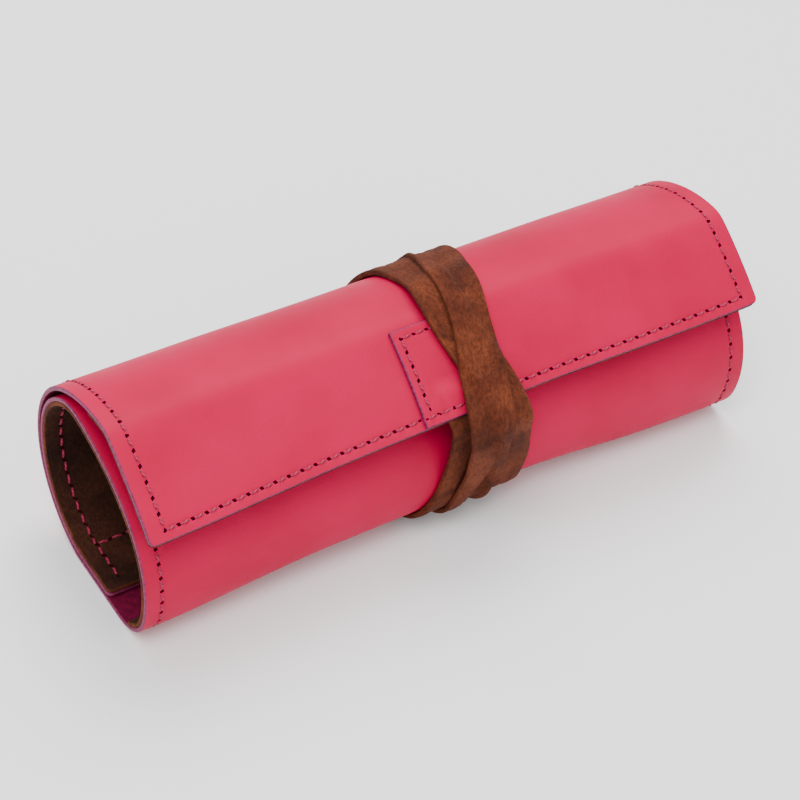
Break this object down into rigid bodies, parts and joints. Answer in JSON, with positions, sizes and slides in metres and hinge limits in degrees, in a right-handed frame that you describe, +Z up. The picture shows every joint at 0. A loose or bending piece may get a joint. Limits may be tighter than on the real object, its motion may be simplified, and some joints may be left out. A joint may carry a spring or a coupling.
{
  "type": "roll-up pencil case",
  "caption": "Roll-up leather pencil case with a fold-over flap, suede pocket lining and a long suede tie strap wound round it.",
  "frame": {"origin": "under the middle of the roll, at the centre of its box, on the surface that it rests on", "axes": "+X along the roll to the right seen from the flap's side, -Y to the side where the flap opens, +Z up"},
  "size_m": [0.2, 0.0736, 0.0656],
  "materials": {
    "pink_leather": "smooth satin",
    "brown_suede": "napped suede, matt",
    "pink_thread": "waxed thread"
  },
  "bodies": {
    "shell": {"shell_leather": "pink_leather", "front_lining": "brown_suede", "shell_thread": "pink_thread"},
    "flap": {"flap_leather": "pink_leather", "flap_facing": "brown_suede", "flap_thread": "pink_thread", "tab_patch": "pink_leather", "patch_thread": "pink_thread", "strap_end": "brown_suede", "strap_01": "brown_suede"},
    "inner_panel": {"panel_leather": "pink_leather", "panel_lining": "brown_suede", "panel_thread": "pink_thread"},
    "strap_link_01": {"strap_02": "brown_suede", "strap_03": "brown_suede"},
    "strap_link_02": {"strap_04": "brown_suede"},
    "strap_link_03": {"strap_05": "brown_suede"},
    "strap_link_04": {"strap_06": "brown_suede", "strap_07": "brown_suede"},
    "strap_link_05": {"strap_08": "brown_suede"},
    "strap_link_06": {"strap_09": "brown_suede", "strap_10": "brown_suede"},
    "strap_link_07": {"strap_11": "brown_suede"},
    "strap_link_08": {"strap_12": "brown_suede"},
    "strap_link_09": {"strap_13": "brown_suede", "strap_14": "brown_suede"},
    "strap_link_10": {"strap_15": "brown_suede"},
    "strap_link_11": {"strap_16": "brown_suede", "strap_17": "brown_suede"}
  },
  "joints": [
    {"name": "flap_fold", "type": "hinge", "parent": "shell", "child": "flap", "pos_m": [0, 0.02197, 0.0546], "axis": [-1, 0, 0], "range_deg": [0, 100], "deforming": ["strap_02", "strap_03", "strap_04", "strap_05", "strap_06", "strap_07", "strap_08", "strap_09", "strap_10", "strap_11", "strap_12", "strap_13", "strap_14", "strap_15", "strap_16", "strap_17"]},
    {"name": "panel_fold", "type": "hinge", "parent": "shell", "child": "inner_panel", "pos_m": [0, 0.03015, 0.0334], "axis": [-1, 0, 0], "range_deg": [0, 20]},
    {"name": "strap_bend_01", "type": "hinge", "parent": "flap", "child": "strap_link_01", "pos_m": [0, -0.02922, 0.01114], "axis": [-1, 0, 0], "range_deg": [0, 24.18]},
    {"name": "strap_bend_02", "type": "hinge", "parent": "strap_link_01", "child": "strap_link_02", "pos_m": [0, 0.01273, 0.00045], "axis": [-1, 0, 0], "range_deg": [0, 33.02]},
    {"name": "strap_bend_03", "type": "hinge", "parent": "strap_link_02", "child": "strap_link_03", "pos_m": [0, 0.03671, 0.02716], "axis": [-1, 0, 0], "range_deg": [0, 84.65]},
    {"name": "strap_bend_04", "type": "hinge", "parent": "strap_link_03", "child": "strap_link_04", "pos_m": [0, 0.01763, 0.05938], "axis": [-1, 0, 0], "range_deg": [0, 127.72]},
    {"name": "strap_bend_05", "type": "hinge", "parent": "strap_link_04", "child": "strap_link_05", "pos_m": [0, -0.03629, 0.04556], "axis": [-1, 0, 0], "range_deg": [0, 97.1]},
    {"name": "strap_bend_06", "type": "hinge", "parent": "strap_link_05", "child": "strap_link_06", "pos_m": [0, -0.02922, 0.01114], "axis": [-1, 0, 0], "range_deg": [0, 67.53]},
    {"name": "strap_bend_07", "type": "hinge", "parent": "strap_link_06", "child": "strap_link_07", "pos_m": [0, 0.01273, 0.00045], "axis": [-1, 0, 0], "range_deg": [0, 63.62]},
    {"name": "strap_bend_08", "type": "hinge", "parent": "strap_link_07", "child": "strap_link_08", "pos_m": [0, 0.03671, 0.02716], "axis": [-1, 0, 0], "range_deg": [0, 74]},
    {"name": "strap_bend_09", "type": "hinge", "parent": "strap_link_08", "child": "strap_link_09", "pos_m": [0, 0.01763, 0.05938], "axis": [-1, 0, 0], "range_deg": [0, 75.21]},
    {"name": "strap_bend_10", "type": "hinge", "parent": "strap_link_09", "child": "strap_link_10", "pos_m": [0, -0.03629, 0.04556], "axis": [-1, 0, 0], "range_deg": [0, 88.96]},
    {"name": "strap_bend_11", "type": "hinge", "parent": "strap_link_10", "child": "strap_link_11", "pos_m": [0, -0.02922, 0.01114], "axis": [-1, 0, 0], "range_deg": [0, 65.39]}
  ],
  "couplings": [
    {"joint": "strap_bend_01", "follows": "flap_fold", "ratio": 0.2371},
    {"joint": "strap_bend_02", "follows": "flap_fold", "ratio": 0.3237},
    {"joint": "strap_bend_03", "follows": "flap_fold", "ratio": 0.8299},
    {"joint": "strap_bend_04", "follows": "flap_fold", "ratio": 1.2522},
    {"joint": "strap_bend_05", "follows": "flap_fold", "ratio": 0.952},
    {"joint": "strap_bend_06", "follows": "flap_fold", "ratio": 0.6621},
    {"joint": "strap_bend_07", "follows": "flap_fold", "ratio": 0.6237},
    {"joint": "strap_bend_08", "follows": "flap_fold", "ratio": 0.7255},
    {"joint": "strap_bend_09", "follows": "flap_fold", "ratio": 0.7374},
    {"joint": "strap_bend_10", "follows": "flap_fold", "ratio": 0.8722},
    {"joint": "strap_bend_11", "follows": "flap_fold", "ratio": 0.6411}
  ]
}
